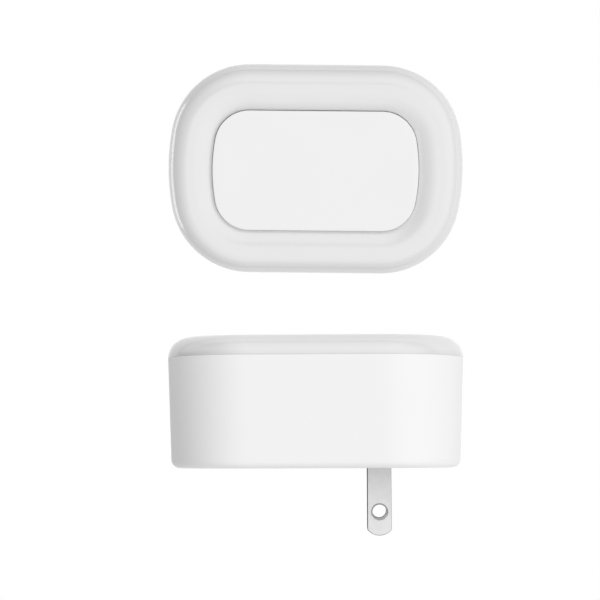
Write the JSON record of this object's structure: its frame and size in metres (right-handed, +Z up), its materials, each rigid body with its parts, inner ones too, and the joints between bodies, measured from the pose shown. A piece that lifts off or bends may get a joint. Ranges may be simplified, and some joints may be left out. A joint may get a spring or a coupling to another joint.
{
  "type": "plug in night light",
  "caption": "Plug-in night light: deep oval housing, opal glow ring round a sprung press panel, and flat plug blades with a round hole on the back.",
  "frame": {"origin": "midway between the plug blades, on the housing's back face, which lies against the outlet", "axes": "+Y out of the back face along the blades, into the wall; +Z up the wall along the body, towards the plug end; +X to the right seen from the room"},
  "size_m": [0.0538, 0.0503, 0.076],
  "materials": {
    "housing_white": "moulded white ABS, fine satin gloss",
    "ring_opal": "moulded opal polycarbonate, polished",
    "panel_white": "moulded white ABS, satin",
    "blade_nickel": "nickel plated brass, lightly brushed",
    "clamp_ivory": "moulded heat resistant resin",
    "screw_steel": "zinc plated steel",
    "lead_black": "extruded insulation",
    "lead_white": "extruded insulation",
    "board_green": "glass fibre laminate with solder mask",
    "board_white": "laminate with white solder mask",
    "film_capacitor": "moulded resin box",
    "can_sleeve": "shrunk sleeve on an aluminium can",
    "chip_black": "moulded epoxy",
    "resistor_blue": "lacquer",
    "resistor_tan": "lacquer",
    "varistor_blue": "dipped epoxy",
    "strip_black": "moulded strip",
    "pin_gold": "gold flash on brass",
    "led_body": "phosphor in a white package",
    "frame_white": "moulded white reflector",
    "switch_grey": "moulded switch body",
    "plunger_black": "moulded acetal",
    "spring_steel": "spring wire"
  },
  "bodies": {
    "light": {"housing": "housing_white", "front_diffuser": "ring_opal", "line_blade": "blade_nickel", "neutral_blade": "blade_nickel", "blade_clamp": "clamp_ivory", "blade_clamp_screws": "screw_steel", "line_lead": "lead_black", "neutral_lead": "lead_white", "power_board": "board_green", "power_board_screws": "screw_steel", "dropper_capacitor": "film_capacitor", "smoothing_capacitor": "can_sleeve", "bridge_rectifier": "chip_black", "fusible_resistor": "resistor_blue", "surge_varistor": "varistor_blue", "bleed_resistors": "resistor_tan", "board_link_header": "strip_black", "board_link_pins": "pin_gold", "led_board": "board_white", "leds": "led_body", "driver_chip": "chip_black", "chip_resistors": "chip_black", "reflector_frame": "frame_white", "front_screws": "screw_steel", "switch_body": "switch_grey", "return_springs": "spring_steel"},
    "panel": {"press_panel": "panel_white"},
    "plunger": {"switch_plunger": "plunger_black"}
  },
  "joints": [
    {"name": "panel_press", "type": "slide", "parent": "light", "child": "panel", "axis": [0, 1, 0], "range_m": [0, 0.0012], "stiffness_N_per_m": 900, "springref_m": -0.002, "deforming": ["return_springs"]},
    {"name": "plunger_press", "type": "slide", "parent": "light", "child": "plunger", "axis": [0, 1, 0], "range_m": [0, 0.0012]}
  ],
  "couplings": [
    {"joint": "plunger_press", "follows": "panel_press", "ratio": 1}
  ]
}
